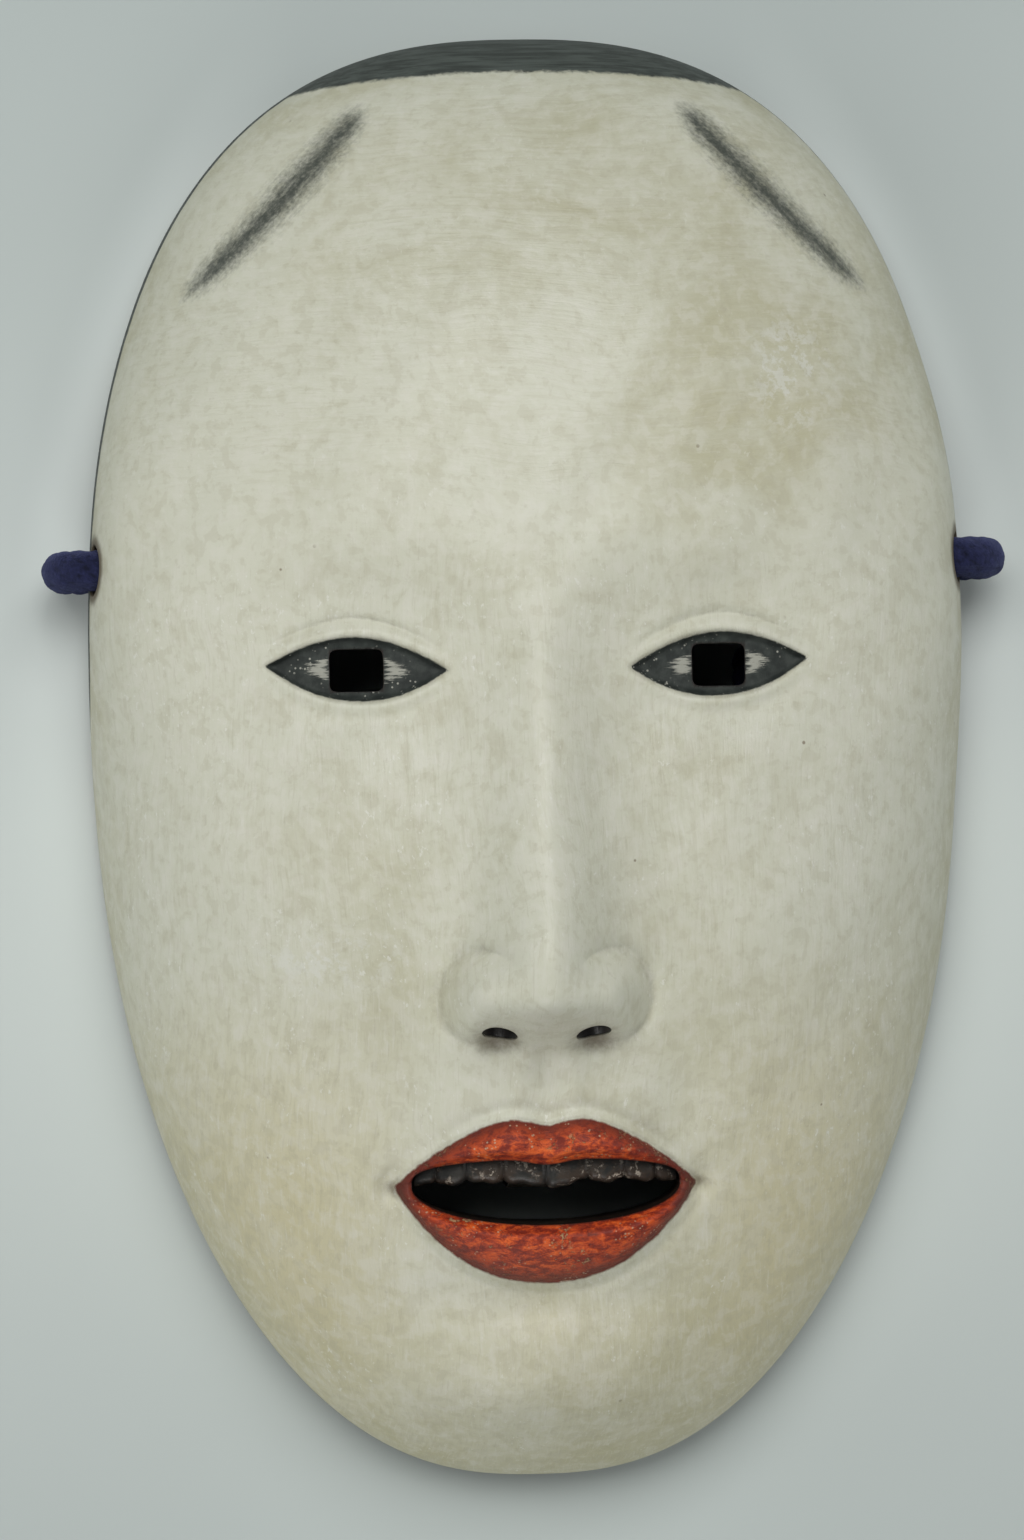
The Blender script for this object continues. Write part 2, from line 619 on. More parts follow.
def lens_loop(half, top, bottom, count=60):
    x = half * np.sin(np.linspace(-math.pi / 2, math.pi / 2, count))
    return np.vstack([np.column_stack([x, top(x)]), np.column_stack([x, bottom(x)])[1:-1][::-1]])


gap_distance = distance_map(lens_loop(GAP_W / 2, gap_top, gap_bottom))

EYE_HALF = EYE_X / 2


def eye_frame(x, y):
    """Places from the middle of the nearer eye, +x outward. The outer corner sits higher."""
    u = np.abs(x) - EYE_X
    return u, y - EYE_Y + 0.2 - 0.04 * u


def eye_top(u):
    return 4.3 * fade(u, EYE_HALF, 1.9) ** 1.05


def eye_bottom(u):
    return -4.6 * fade(u, EYE_HALF, 2.2) ** 1.1


one_eye_distance = distance_map(lens_loop(EYE_HALF, eye_top, eye_bottom))


def eye_distance(x, y):
    return one_eye_distance(*eye_frame(x, y))


def lid_fold(u, v):
    """Distance above the fold over the upper lid."""
    return v - eye_top(u) - 2.5 - 0.4 * bell(u / 8)


def pupil_distance(x, y):
    return np.maximum(np.abs(np.abs(x) - EYE_X) - PUPIL_W / 2, np.abs(y - EYE_Y + 0.5) - PUPIL_H / 2)


LIP_HALF = 21.5


def lip_top(x):
    return MOUTH_Y + 10.4 * fade(x, LIP_HALF, 1.9) ** 0.95 - 1.7 * bell(x / 3.4)


def lip_bottom(x):
    return MOUTH_Y - 14.2 * fade(x, LIP_HALF, 2.2) ** 0.9


lip_distance = distance_map(lens_loop(LIP_HALF, lip_top, lip_bottom))


def relief(x, y):
    nose = smooth_lookup(y, NOSE_LINE) * np.exp(-(np.abs(x) / smooth_lookup(y, NOSE_HALF)) ** 2.1)
    return nose + swells(x, y, RELIEF)


def alar_distance(x, y):
    """Distance to the crease that runs round and over each nostril wing."""
    dx, dy = np.abs(x) - 9.0, y + 33.8
    angle = np.arctan2(dy, dx)
    ring = np.abs(np.hypot(dx, dy / 1.08) - 6.2)
    past = np.maximum(0, np.abs(angle - 0.45) - 1.05)
    return ring + past ** 2 * 3.2


def carved_detail(x, y):
    """Lids, nostrils, lips and creases, finer than the CAD model carries."""
    ax = np.abs(x)
    u, v = eye_frame(x, y)
    eye = eye_distance(x, y)
    fold = lid_fold(u, v)
    lids = -1.35 * ramp((0.3 - eye) / 0.8)
    lids += 0.6 * bell((eye - 0.9) / 0.9) * fade(u, EYE_HALF + 1.5, 3)
    lids -= 0.5 * bell(fold / 0.5) * fade(u - 0.5, 12.5, 4)
    lids += 0.22 * bell((fold - 1.6) / 1.6) * fade(u, 13, 4)
    lids -= 0.22 * bell((v - eye_bottom(u) + 3.2) / 1.8) * fade(u, 12, 2)
    lids -= 0.35 * bell(np.maximum(0, pupil_distance(x, y)) / 0.6)

    wing = alar_distance(x, y)
    nose = 0.7 * bell(np.hypot(ax - 10.8, y - NOSE_BASE_Y - 0.6) / 2.2)
    nose -= 0.95 * bell(wing / 1.6) + 0.4 * bell(wing / 0.7)

    lip = lip_distance(x, y)
    gap = gap_distance(x, y)
    share = np.clip(-lip / np.maximum(0.5, gap - lip), 0, 1)
    across = np.clip(x, -19, 19)
    upper = y > (gap_top(across) + gap_bottom(across)) / 2
    swell = np.where(upper, 2.7, 3.6) * np.sin(math.pi * np.clip(share * 0.76, 0, 1)) ** 0.85
    lips = swell * fade(x, 23, 4) * ramp((0.2 - lip) / 0.8)
    lips -= 2.4 * ramp((1.9 - gap) / 2.6) * fade(x, 24, 6)
    lips += 0.32 * bell((lip - 0.3) / 0.7) * fade(x, 21, 4)
    lips -= 0.35 * bell((lip - 1.7) / 1.0)
    lips -= 1.6 * bell(np.hypot(ax - 21.6, y - MOUTH_Y) / 2.4)
    return lids + nose + lips + swells(x, y, FINE_RELIEF)


def face_z(x, y, inset, detail=1.0):
    near_rim = ramp(inside(x, y, 0) * 4)
    shape = relief(x, y) + detail * carved_detail(x, y)
    hand = 0.16 * np.sin(x * 0.21 + 1.0) * np.sin(y * 0.17 + 0.4) + 0.1 * np.sin(x * 0.43 - y * 0.31)
    return dome(x, y, FACE_D - inset, inset) + (shape + hand * detail) * near_rim


def hollow_z(x, y):
    return dome(x, y, HOLLOW_D, RIM_W) + 7 * bell(x / 11) * bell((y + 24) / 15)


def scoops(x, y, size, seed):
    """Shallow gouge cuts, 0 at each cut's middle and rising to the ridges between cuts."""
    gx, gy = x / size[0], y / size[1]
    jitter = np.random.default_rng(seed).random((2, 64, 64))
    best = np.full(np.shape(x), 9.0)
    for dx in (-1, 0, 1):
        for dy in (-1, 0, 1):
            cx, cy = np.floor(gx) + dx, np.floor(gy) + dy
            ix, iy = cx.astype(int) % 64, cy.astype(int) % 64
            px = cx + 0.5 + 0.7 * (jitter[0, ix, iy] - 0.5)
            py = cy + 0.5 + 0.7 * (jitter[1, ix, iy] - 0.5)
            best = np.minimum(best, (gx - px) ** 2 + (gy - py) ** 2)
    return np.minimum(best, 0.7)


def gouges(x, y):
    return scoops(x + 0.25 * y, y, size=(6.5, 11), seed=11)


def past_cord_hole(y, z):
    """Distance outside the edge of a cord hole."""
    return np.maximum(0, np.hypot(y - HOLE_Y, z - HOLE_Z) - CORD_HOLE_R)


# -------- meshes
def ringed_faces(rings, spokes):
    """The faces of a closed piece made of rings of points, with its two end rings filled."""
    i, s = np.meshgrid(np.arange(rings - 1), np.arange(spokes), indexing="ij")
    a = i * spokes + s
    b = i * spokes + (s + 1) % spokes
    quads = np.stack([a, b, b + spokes, a + spokes], axis=-1).reshape(-1, 4).tolist()
    ends = [list(range(spokes))[::-1], [(rings - 1) * spokes + s for s in range(spokes)]]
    return quads + ends


def mesh_piece(name, points, faces):
    """A mesh object from points in millimetres. Faces are turned so that they look outward."""
    mesh = bpy.data.meshes.new(name)
    mesh.from_pydata((np.asarray(points) * MM).tolist(), [], faces)
    mesh.update()
    if signed_volume(mesh) < 0:
        mesh.flip_normals()
    smoothed(mesh)
    return add_object(name, mesh)


def smoothed(mesh):
    mesh.polygons.foreach_set("use_smooth", [True] * len(mesh.polygons))


def signed_volume(mesh):
    mesh.calc_loop_triangles()
    corners = np.empty(len(mesh.loop_triangles) * 3, dtype=np.int32)
    mesh.loop_triangles.foreach_get("vertices", corners)
    points = vertex_places(mesh)[corners.reshape(-1, 3)]
    return np.einsum("ij,ij->", points[:, 0], np.cross(points[:, 1], points[:, 2])) / 6


def vertex_places(mesh):
    flat = np.empty(len(mesh.vertices) * 3)
    mesh.vertices.foreach_get("co", flat)
    return flat.reshape(-1, 3) / MM


def ringed_piece(name, rings):
    rings = np.asarray(rings)
    return mesh_piece(name, rings.reshape(-1, 3), ringed_faces(*rings.shape[:2]))


def store(mesh, **fields):
    for name, values in fields.items():
        values = np.asarray(values, dtype=np.float32)
        kind, slot = ("FLOAT", "value") if values.ndim == 1 else ("FLOAT_VECTOR", "vector")
        mesh.attributes.new(name, kind, "POINT").data.foreach_set(slot, values.ravel())


def paint(piece, material):
    piece.data.materials.clear()
    piece.data.materials.append(material)


def applied(piece):
    """Applies the piece's modifiers to its mesh."""
    graph = bpy.context.evaluated_depsgraph_get()
    mesh = bpy.data.meshes.new_from_object(piece.evaluated_get(graph))
    piece.modifiers.clear()
    old = piece.data
    piece.data = mesh
    bpy.data.meshes.remove(old)


def cut(piece, cutters):
    for cutter in cutters:
        modifier = piece.modifiers.new("cut", "BOOLEAN")
        modifier.operation = "DIFFERENCE"
        modifier.solver = "MANIFOLD"
        modifier.object = cutter
    applied(piece)
    for cutter in cutters:
        mesh = cutter.data
        bpy.data.objects.remove(cutter)
        bpy.data.meshes.remove(mesh)
    smoothed(piece.data)


def prism(xy, low, high):
    """A straight cutter along Z with the given outline."""
    return ringed_piece("cutter", [np.column_stack([xy, np.full(len(xy), z)]) for z in (low, high)])


def round_cutter(start, end, start_r, end_r):
    start, end = np.asarray(start, float), np.asarray(end, float)
    axis = (end - start) / np.linalg.norm(end - start)
    across = np.cross(axis, (0, 1, 0) if abs(axis[1]) < 0.9 else (1, 0, 0))
    across /= np.linalg.norm(across)
    a = full_turn(48)[:, None]
    circle = np.cos(a) * across + np.sin(a) * np.cross(axis, across)
    return ringed_piece("cutter", [start + start_r * circle, end + end_r * circle])


def hole_cutters():
    """Cutters for the pupils, the nostrils, the gap of the mouth and the cord holes."""
    pupils, nostrils, cords = [], [], []
    box = np.column_stack(list(rounded_square(full_turn(40), 2 / 7))) * (PUPIL_W / 2, PUPIL_H / 2)
    lean = math.radians(66)
    for side in SIDES:
        pupils.append(prism(box + (side * EYE_X, EYE_Y - 0.5), low=20, high=60))
        middle = np.array([side * 6.6, NOSE_BASE_Y - 1, 54.0])
        down = np.array([side * 0.12, -math.sin(lean), math.cos(lean)]) * 13
        nostrils.append(round_cutter(middle - down * 1.7, middle + down, NOSTRIL_R, NOSTRIL_R * 1.15))
        near, far = ((side * x, HOLE_Y, HOLE_Z) for x in (38, 72))
        cords.append(round_cutter(near, far, CORD_HOLE_R, CORD_HOLE_R))
    gap = prism(lens_loop(GAP_W / 2, gap_top, gap_bottom, 91), low=20, high=75)
    return pupils + nostrils + [gap] + cords


def eye_pit_cutters():
    pit = (EYE_Y - 0.5, 26), (EYE_Y - 0.5, 44.5)
    return [round_cutter(*((side * EYE_X, *end) for end in pit), 17, 6.5) for side in SIDES]


# -------- the mask
COAT_SPOKES, COAT_RINGS = 840, 401
SHELL_SPOKES, FRONT_RINGS, BACK_RINGS = 600, 131, 151


def ring_shares(count):
    """How far out each ring lies, closer together towards the edge."""
    return np.sin(np.linspace(0, 1, count)[1:-1] * math.pi / 2) ** 0.95


def front_rings(inset, spokes, shares):
    centre = np.array([0.0, GRID_Y])
    places = centre + (outline(inset, spokes) - centre) * shares[:, None, None]
    x, y = places[..., 0], places[..., 1]
    return np.stack([x, y, face_z(x, y, inset)], axis=-1)


def coat_fields(mesh):
    """Paint and wear, as distances and shares that the material reads."""
    x, y, z = vertex_places(mesh).T
    ax = np.abs(x)
    eye, lip = eye_distance(x, y), lip_distance(x, y)
    u, v = eye_frame(x, y)
    # The eyeball's white lies on each side of the pupil and fades towards the corners.
    beside = 2.1 - np.abs(np.abs(u) - 5.4)
    eyeball = np.where(eye < 0, np.minimum(beside * 0.45, (-eye - 2.0) * 0.8), -2.0)

    # The hair covers the crown, and a strip of it runs down each side wall, thinner towards the ear.
    crown = y - (HAIRLINE_Y + 1.0 - 0.0016 * ax ** 2)
    strip = 6.0 * ramp((y + 4) / 16) + 3.0 * ramp((y - 30) / 40) + rim_z(x, y) - z
    strip = np.where(y > -4, strip, -4.0)

    # Each brow is a stroke from its inner end to its outer one, bent a little.
    inner, outer = np.array([22.6, 94.0]), np.array([49.8, 66.0])
    length = np.hypot(*(outer - inner))
    run_x, run_y = (outer - inner) / length
    along = (ax - inner[0]) * run_x + (y - inner[1]) * run_y
    off = (ax - inner[0]) * run_y - (y - inner[1]) * run_x
    middle = np.clip(along / length, 0, 1)
    half = 2.7 - 0.9 * np.abs(middle * 2 - 0.8)
    bend = off - 0.9 * np.sin(math.pi * middle)
    taper = ramp((along + 2.5) / 7) * ramp((length - along + 2.5) / 9)

    crease = 0.42 * bell(alar_distance(x, y) / 1.3)
    crease += 0.95 * bell((ax - 6.8) / 4.4) * bell((y - NOSE_BASE_Y + 1.9) / 2.6)
    crease += 0.5 * bell(lid_fold(u, v) / 0.42) * fade(u - 0.5, 12.0, 4)
    crease += 0.48 * bell((eye - 0.25) / 0.55) + 0.42 * bell((lip - 0.25) / 0.6)
    crease += 0.5 * bell(np.hypot(ax - 22.2, y - MOUTH_Y) / 1.8)
    crease += np.where(ax > 50, 1.25 * bell(past_cord_hole(y, z) / 1.6), 0)
    crease += 0.9 * ramp((rim_z(x, y) + 3.4 - z) / 3.0)

    lower_side = ramp((-y - 22) / 50) * ramp((ax - 10) / 26)
    stain = 0.5 * ramp((-y - 50) / 60) + 0.75 * ramp((FACE_D * 0.62 - z) / 30)
    stain += 0.3 * bell((ax - 20) / 9) * bell((y + 30) / 18)
    stain += 0.6 * bell(np.hypot((x - 34) / 19, (y - 50) / 17))
    scuff = bell(np.hypot((x - 37) / 7, (y - 54) / 10)) + 0.8 * bell(np.hypot((x + 30) / 14, (y + 28) / 6))
    in_mouth = ramp((0.25 - gap_distance(x, y)) / 0.3)
    in_pupil = ramp((0.12 - pupil_distance(x, y)) / 0.15)
    store(
        mesh, eye=eye, lips=lip, eyeball=eyeball, crease=crease, stain=stain, scuff=scuff,
        hair=np.maximum(crown, np.minimum(strip, 3.0)),
        brow=np.exp(-np.abs(bend / half) ** 1.45) * taper,
        brow_place=np.column_stack([along, off, np.sign(x) * 30]),
        corner=bell(np.hypot(ax - 20.5, y - MOUTH_Y + 0.4) / 3.0),
        forehead=ramp((y - 18) / 30),
        yellowed=np.maximum(lower_side, 0.35 * ramp((-y - 55) / 40)),
        hole=np.maximum(in_mouth * 0.9, in_pupil),
    )


def make_coat():
    spokes = COAT_SPOKES
    shares = ring_shares(COAT_RINGS)
    shares = shares[shares < 0.99925]  # the rest would crowd the edge
    outer = front_rings(0, spokes, shares)
    inner = front_rings(COAT, spokes, np.append(shares[1:-1:3], shares[-1]))
    # The coat's lower edge is ragged, where it has chipped off above the rim.
    chips = 0.4 * scoops(np.arange(spokes) * 0.9, np.zeros(spokes), size=(9, 9), seed=3)
    outer[-1, :, 2] += chips
    inner[-1, :, 2] += chips
    coat = ringed_piece("gofun_face", np.concatenate([outer, inner[::-1]]))
    cut(coat, hole_cutters())
    coat_fields(coat.data)
    paint(coat, gofun_material())
    return coat


# The rim is a flat land with its two edges eased. Share of the way in, and height
LAND = ((0, 2.6), (0, 1.0), (0.03, 0.35), (0.12, 0), (0.5, 0), (0.9, 0), (0.98, 0.3), (1, 1))


def make_shell():
    spokes = SHELL_SPOKES
    front = front_rings(COAT + 0.12, spokes, ring_shares(FRONT_RINGS))
    outer_edge = outline(COAT + 0.1, spokes)
    inner_edge = outline(RIM_W, spokes)
    land = []
    for share, lift in LAND:
        xy = outer_edge * (1 - share) + inner_edge * share
        land.append(np.column_stack([xy, rim_z(*xy.T) + lift]))
    places = inner_edge * ring_shares(BACK_RINGS)[::-1, None, None]
    x, y = places[..., 0], places[..., 1]
    marks = gouges(x, y) * ramp(inside(x, y, RIM_W) * 6)
    back = np.stack([x, y, hollow_z(x, y) - 1.5 * marks + 0.25], axis=-1)
    shell = ringed_piece("carved_cypress", np.concatenate([front, land, back]))
    cut(shell, hole_cutters() + eye_pit_cutters())

    x, y, z = vertex_places(shell.data).T
    rim = ramp((rim_z(x, y) + 2.2 - z) / 1.8)
    ridges = 0.9 * ramp((gouges(x, y) - 0.22) / 0.3)
    holes = np.where(np.abs(x) > 42, bell(past_cord_hole(y, z) / 1.2), 0)
    deep = ramp((z - hollow_z(x, y) - 0.6) / 1.5)
    by_nostril = ramp((8 - np.hypot(np.abs(x) - 7.2, y - NOSE_BASE_Y)) / 2)
    by_pupil, by_gap = ramp(1.5 - pupil_distance(x, y)), ramp(1.5 - gap_distance(x, y))
    store(
        shell.data,
        worn=np.maximum.reduce([rim, ridges * 0.55, holes]),
        black=deep * np.maximum.reduce([by_pupil, by_gap, by_nostril]),
    )
    paint(shell, wood_material())
    return shell


TOOTH_EDGES = np.array([0, 6.0, 11.2, 15.6, 19.4])


def tooth_edge(x, width):
    """1 at each edge between teeth, falling off over the width."""
    return bell(np.min(np.abs(np.abs(x)[:, None] - TOOTH_EDGES), axis=1) / width)


def make_teeth():
    """The upper teeth, carved in one row, with a groove between each two."""
    x = np.linspace(-18.6, 18.6, 373)
    width = np.interp(np.abs(x), TOOTH_EDGES, np.arange(5)) % 1.0
    crown = np.sin(math.pi * width) ** 0.5
    top = gap_top(x) + 2.4
    uneven = 0.05 * np.sin(x * 0.9 + 0.6) + 0.03 * np.sin(x * 2.3)
    bottom = gap_top(x) - TEETH_DROP * gap_share(x) ** 0.5 * (0.86 + 0.18 * crown + uneven)
    front = face_z(x, gap_top(x) + 3, inset=0, detail=0) - 3.6 - 0.24 * tooth_edge(x, 0.42) + 0.26 * crown
    back = front - 5.0
    across, up = rounded_square(full_turn(48), 0.6)
    y = (top + bottom)[:, None] / 2 + (top - bottom)[:, None] / 2 * across
    z = (front + back)[:, None] / 2 + (front - back)[:, None] / 2 * up
    rings = np.stack([np.broadcast_to(x[:, None], y.shape), y, z], axis=-1)
    teeth = ringed_piece("carved_teeth", rings)
    px, py, _ = vertex_places(teeth.data).T
    gum = ramp((py - gap_top(px) + 0.9) / 1.2)
    store(teeth.data, gum=np.maximum(tooth_edge(px, 0.3) * 0.25, gum))
    paint(teeth, teeth_material())
    return teeth


# -------- cords
def smooth_path(points, spacing):
    """A centripetal curve through the points, resampled evenly."""
    p = np.asarray(points, float)
    p = np.vstack([2 * p[0] - p[1], p, 2 * p[-1] - p[-2]])
    fine = []
    for i in range(1, len(p) - 2):
        p0, p1, p2, p3 = p[i - 1:i + 3]
        t = [0.0]
        for q, r in ((p0, p1), (p1, p2), (p2, p3)):
            t.append(t[-1] + math.sqrt(np.linalg.norm(r - q)))
        s = np.linspace(t[1], t[2], 24, endpoint=False)[:, None]

        def blend(i, j, q, r):
            return (t[j] - s) / (t[j] - t[i]) * q + (s - t[i]) / (t[j] - t[i]) * r

        a1, a2, a3 = blend(0, 1, p0, p1), blend(1, 2, p1, p2), blend(2, 3, p2, p3)
        fine.append(blend(1, 2, blend(0, 2, a1, a2), blend(1, 3, a2, a3)))
    return even_path(np.vstack(fine + [p[-2:-1]]), spacing)


def distance_along(path):
    return np.concatenate([[0], np.cumsum(np.linalg.norm(np.diff(path, axis=0), axis=1))])


def even_path(fine, spacing):
    walked = distance_along(fine)
    stops = np.linspace(0, walked[-1], max(2, int(round(walked[-1] / spacing)) + 1))
    return np.stack([np.interp(stops, walked, fine[:, k]) for k in range(3)], axis=1)


def tube_points(path, radius, a):
    """Rings of points round a path, at angles that don't twist along it."""
    along = np.gradient(path, axis=0)
    along /= np.linalg.norm(along, axis=1)[:, None]
    across = np.empty_like(path)
    last = np.array([0.0, 0.1, 1.0])
    for i, t in enumerate(along):
        last = last - t * last.dot(t)
        last /= np.linalg.norm(last)
        across[i] = last
    other = np.cross(along, across)
    ring = np.cos(a)[None, :, None] * across[:, None, :] + np.sin(a)[None, :, None] * other[:, None, :]
    return path[:, None, :] + radius[..., None] * ring


STRANDS = 8
BRAID_PITCH = 13.0


def braided_tube(name, path, radius, sides=32):
    """A round braid along a path: two families of strands that pass over and under each other."""
    walked = distance_along(path)
    a = full_turn(sides)
    angle = a / (2 * math.pi) * STRANDS
    travel = walked / (BRAID_PITCH * radius / 3.0) * STRANDS
    one = angle[None, :] / 2 + travel[:, None] / 2
    two = angle[None, :] / 2 - travel[:, None] / 2
    crest = (np.abs(np.sin(math.pi * one)) * np.abs(np.sin(math.pi * two))) ** 0.55
    tremble = 0.05 * np.sin(walked * 1.7)[:, None] * np.sin(3 * a + 1)[None, :]
    r = radius * (0.93 + 0.095 * crest) + tremble
    ends = np.minimum(1, np.minimum(walked, walked[-1] - walked) / (radius * 0.6) + 0.35)
    r = r * ends[:, None] ** 0.5
    piece = ringed_piece(name, tube_points(path, r, a))
    braid = np.stack([one, two, np.zeros_like(crest)], axis=-1).reshape(-1, 3)
    store(piece.data, strand=crest.ravel(), braid=braid)
    return piece


def coil_turns(low_z):
    """Two layers of two turns: winding in on the lower layer and out on the upper one."""
    turn = np.linspace(0, 4, 4 * 24 + 1)
    radius = COIL_R - CORD_D + np.abs(turn - 2) * CORD_D
    angle = -2 * math.pi * turn
    xy = COIL_CENTRE + radius[:, None] * np.column_stack([np.cos(angle), np.sin(angle)])
    return np.column_stack([xy, low_z + COIL_LAYER * ramp((turn - 1.8) / 0.4)])


def loop_knot_path(mirror):
    """The knot that closes the loop, wrapped twice round both strands."""
    t = np.linspace(0, 1, 140)
    turn = 2 * math.pi * (2.35 * t + 0.1)
    x = 7.6 * np.sin(turn) * (1 + 0.04 * np.sin(5 * turn))
    y = -4.4 + 8.8 * t + 0.9 * np.sin(turn * 0.5)
    return even_path((KNOT_CENTRE + np.column_stack([x, y, 4.5 * np.cos(turn)])) * mirror, 0.6)


def end_knot_path(centre):
    """An overhand knot drawn tight."""
    t = np.linspace(0, 2 * math.pi * 0.985, 160)
    x, y = np.sin(t) + 2 * np.sin(2 * t), np.cos(t) - 2 * np.cos(2 * t)
    return even_path(centre + 1.18 * np.column_stack([x, y, -1.25 * np.sin(3 * t)]), 0.5)


def tuft(name, start, toward):
    """Loose silk threads past the end knot."""
    rng = np.random.default_rng(5)
    points, faces = [], []
    toward = toward / np.linalg.norm(toward)
    t = np.linspace(0, 1, 7)[:, None]
    for _ in range(70):
        spread = rng.normal(0, 0.22, 3)
        root = start + rng.normal(0, 0.8, 3)
        reach = 5.5 + rng.random() * 3
        line = root + (toward + spread * t) * reach * t
        line[:, 2] = np.maximum(0.3, line[:, 2] - 3.5 * t[:, 0] ** 2)
        thread = tube_points(line, 0.16 * (1 - 0.5 * t), full_turn(5))
        base = len(points) * thread[..., 0].size
        points.append(thread.reshape(-1, 3))
        faces += [[base + k for k in face] for face in ringed_faces(*thread.shape[:2])]
    piece = mesh_piece(name, np.vstack(points), faces)
    places = vertex_places(piece.data)
    store(piece.data, strand=np.ones(len(places)), braid=places * 0.4)
    return piece


def make_cords():
    silk = silk_material()
    for side, prefix, low_z, lead, way_out, place, heading in CORDS:
        mirror = np.array([side, 1, 1])
        path = smooth_path(np.vstack([LOOP_ROUTE, lead, coil_turns(low_z), way_out, place]) * mirror, 0.8)
        cord = braided_tube(prefix + "_braid", path, CORD_D / 2)
        knots = [
            braided_tube(prefix + "_knot_wraps", loop_knot_path(mirror), radius=2.45, sides=24),
            braided_tube(prefix + "_end_knot_braid", end_knot_path(place * mirror), radius=2, sides=20),
            tuft(prefix + "_end_threads", place * mirror, heading * mirror),
        ]
        for piece in [cord] + knots:
            paint(piece, silk)
        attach(cord, "root")
        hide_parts(prefix, prefix + "_coil")
        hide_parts(prefix + "_knot")
        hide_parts(prefix + "_end_knot")
        for knot in knots:
            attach(knot, "root")
        (path * MM).tolist()


def make_ties():
    """Two bands of folded paper that hold both coils together."""
    paper = paper_material()
    top = HIGH_COIL_Z + COIL_LAYER + CORD_D / 2
    half_x, half_z = 1.5 * CORD_D + 0.5, top / 2
    a = full_turn(120)
    cy, cz = rounded_square(a, 0.45)
    sag = 1 - 0.035 * bell(np.sin(a) / 0.4)
    i, k = np.indices((len(a), 4)).reshape(2, -1)
    j, m = (i + 1) % len(a), (k + 1) % 4
    faces = np.column_stack([i * 4 + k, i * 4 + m, j * 4 + m, j * 4 + k]).tolist()
    for side, node in ((-1, "chin_side_coil_tie"), (1, "brow_side_coil_tie")):
        rings = []
        for offset, along in ((0.3, -1), (0.3, 1), (0.05, 1), (0.05, -1)):
            x = COIL_CENTRE[0] + along * (TIE_W / 2 + 0.12 * np.sin(3 * a + along))
            y = COIL_CENTRE[1] + side * COIL_R + (half_x + offset) * cy * sag
            z = half_z + 0.35 + (half_z + offset - 0.05) * cz + 0.02
            rings.append(np.column_stack([x, y, z]))
        loop = np.stack(rings, axis=1)
        tie = mesh_piece(node + "_paper", loop.reshape(-1, 3), faces)
        edge = tie.modifiers.new("ease", "BEVEL")
        edge.width = EASE
        edge.segments = 2
        edge.limit_method = "ANGLE"
        applied(tie)
        paint(tie, paper)
        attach(tie, "root")
        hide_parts(node)


# -------- pads
def pad_rings(centre, half, shrink):
    a = full_turn(64)
    upper, lower = [], []
    for share in np.sin(np.linspace(0, 1, 13)[1:] * math.pi / 2):
        x = centre[0] + (half[0] - shrink) * share * np.cos(a)
        y = centre[1] + (half[1] - shrink) * share * np.sin(a)
        roof = hollow_z(x, y) - 0.6 - shrink
        deep = 1.0 + (PAD_T - 1 - 2 * shrink) * math.sqrt(max(0, 1 - share ** 2.6))
        upper.append(np.column_stack([x, y, roof]))
        lower.append(np.column_stack([x, y, roof - deep]))
    return np.array(upper + lower[::-1])


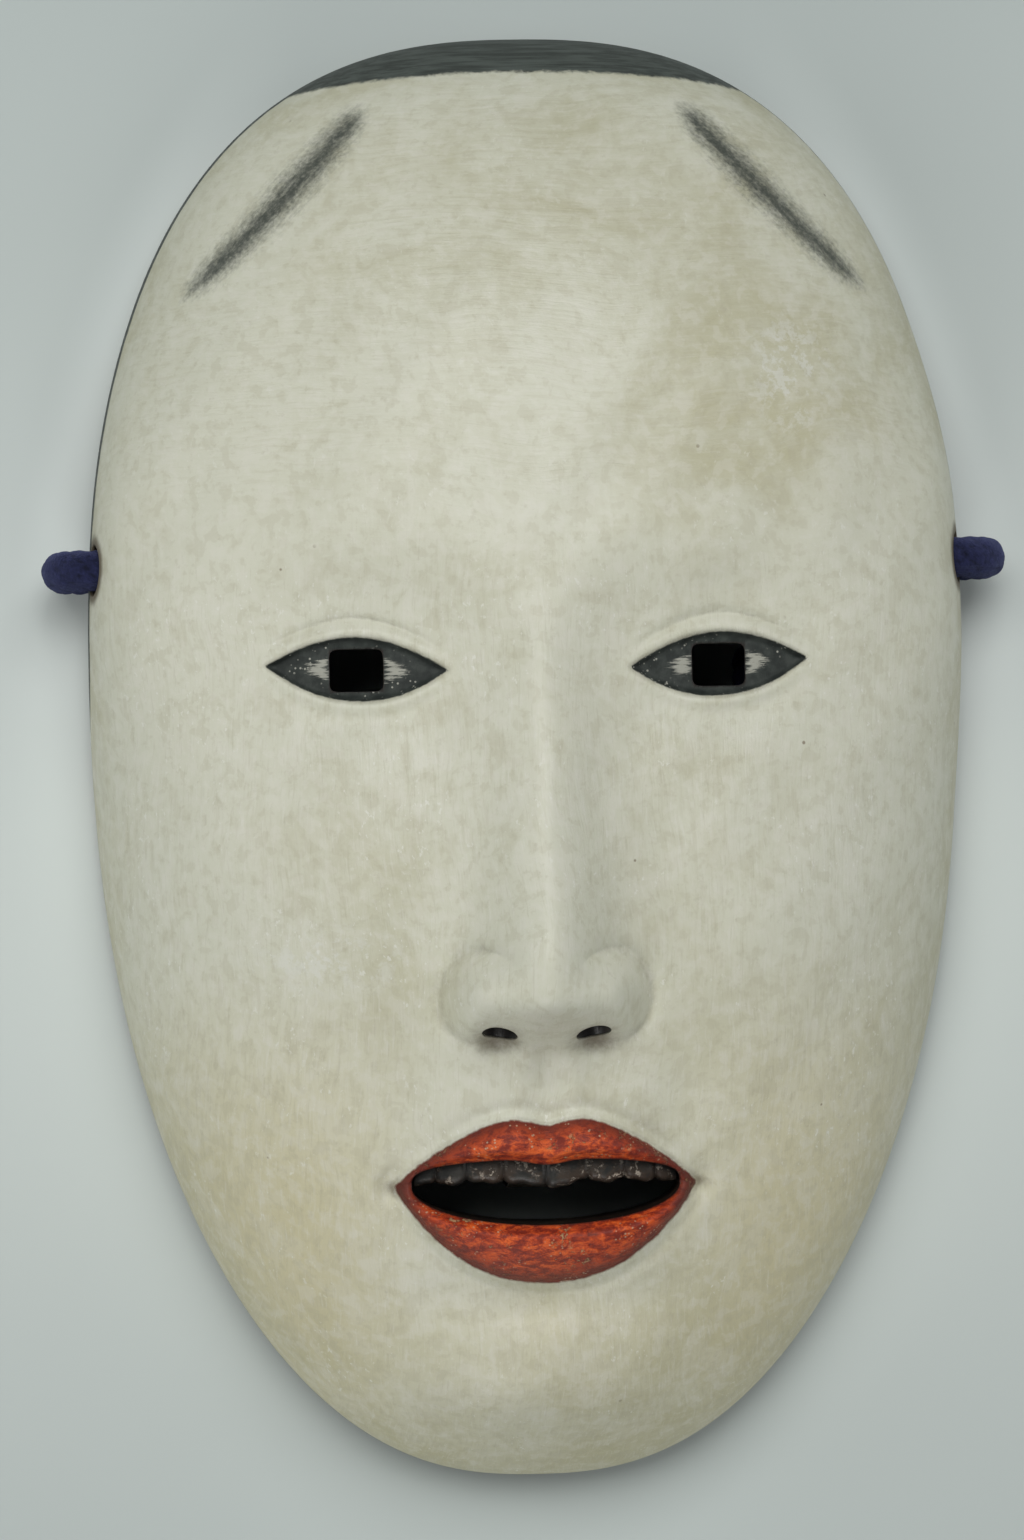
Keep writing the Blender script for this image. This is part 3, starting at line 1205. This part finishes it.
def swell(piece, pressure, cap):
    """Lets the pad's cloth fill out under air pressure, no point moving further than the cap."""
    scene = bpy.context.scene
    remesh = piece.modifiers.new("remesh", "REMESH")
    remesh.mode = "VOXEL"
    remesh.voxel_size = CLOTH_GRAIN
    applied(piece)
    rest = vertex_places(piece.data)
    cloth = piece.modifiers.new("cloth", "CLOTH")
    cloth.settings.use_pressure = True
    cloth.settings.uniform_pressure_force = pressure
    cloth.settings.effector_weights.gravity = 0
    cloth.settings.quality = 5
    cloth.point_cache.frame_start, cloth.point_cache.frame_end = 1, CLOTH_STEPS
    for step in range(1, CLOTH_STEPS + 1):
        scene.frame_set(step)
    graph = bpy.context.evaluated_depsgraph_get()
    shift = vertex_places(bpy.data.meshes.new_from_object(piece.evaluated_get(graph))) - rest
    piece.modifiers.clear()
    scene.frame_set(1)
    far = np.linalg.norm(shift, axis=1)[:, None]
    shift *= np.minimum(1, cap / np.maximum(far, 1e-9))
    return rest + shift


def move_to(mesh, places):
    mesh.vertices.foreach_set("co", (places * MM).ravel())


def make_pad(node, centre, half, material):
    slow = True
    pad = ringed_piece(node + "_cotton", pad_rings(centre, half, 0.7 if slow else 0.2))
    if slow:
        places = swell(pad, pressure=4, cap=1.2)
        # The roof of the hollow stops the pad, which lies against it.
        roof = hollow_z(places[:, 0], places[:, 1]) - 0.45
        places[:, 2] = np.minimum(places[:, 2], roof)
        move_to(pad.data, places)
    smooth = pad.modifiers.new("smooth", "SUBSURF")
    smooth.levels = 1
    applied(pad)
    places = vertex_places(pad.data)
    x, y, z = places.T
    u, v = (x - centre[0]) / half[0], (y - centre[1]) / half[1]
    low = np.clip((hollow_z(x, y) - z) / PAD_T, 0, 1)
    spread, wave = np.hypot(u, v), np.cos(np.arctan2(v, u) * QUILTING)
    # A row of quilting stitches pulls the cover in, a little inside the edge.
    stitch = bell((spread - 0.66) / 0.07) * (0.75 + 0.25 * wave)
    pucker = 0.12 * wave * bell((spread - 0.8) / 0.16)
    places[:, 2] += (1.5 * stitch + pucker) * low
    move_to(pad.data, places)
    pad.data.update()
    smoothed(pad.data)
    paint(pad, material)
    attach(pad, "root")
    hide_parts(node)


def make_pads():
    cotton = cotton_material()
    for name, centre, half in (
        ("forehead_pad", (0, 72), (29, 11)),
        ("right_cheek_pad", (31, -60), (7.5, 10)),
        ("left_cheek_pad", (-31, -60), (7.5, 10)),
    ):
        make_pad(name, centre, half, cotton)


# -------- the scene
def make_floor():
    bpy.ops.mesh.primitive_plane_add(size=FLOOR_SIZE, location=(0, 0, FLOOR_Z))
    floor = bpy.context.object
    floor.name = "floor"
    paint(floor, floor_material())


make_camera()
make_cords()
make_lights()
make_floor()
make_ties()

coat = make_coat()
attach(coat, "root")
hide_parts("gofun_coat")

shell = make_shell()
teeth = make_teeth()
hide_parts("carved_shell")
for part in (shell, teeth):
    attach(part, "root")

make_pads()
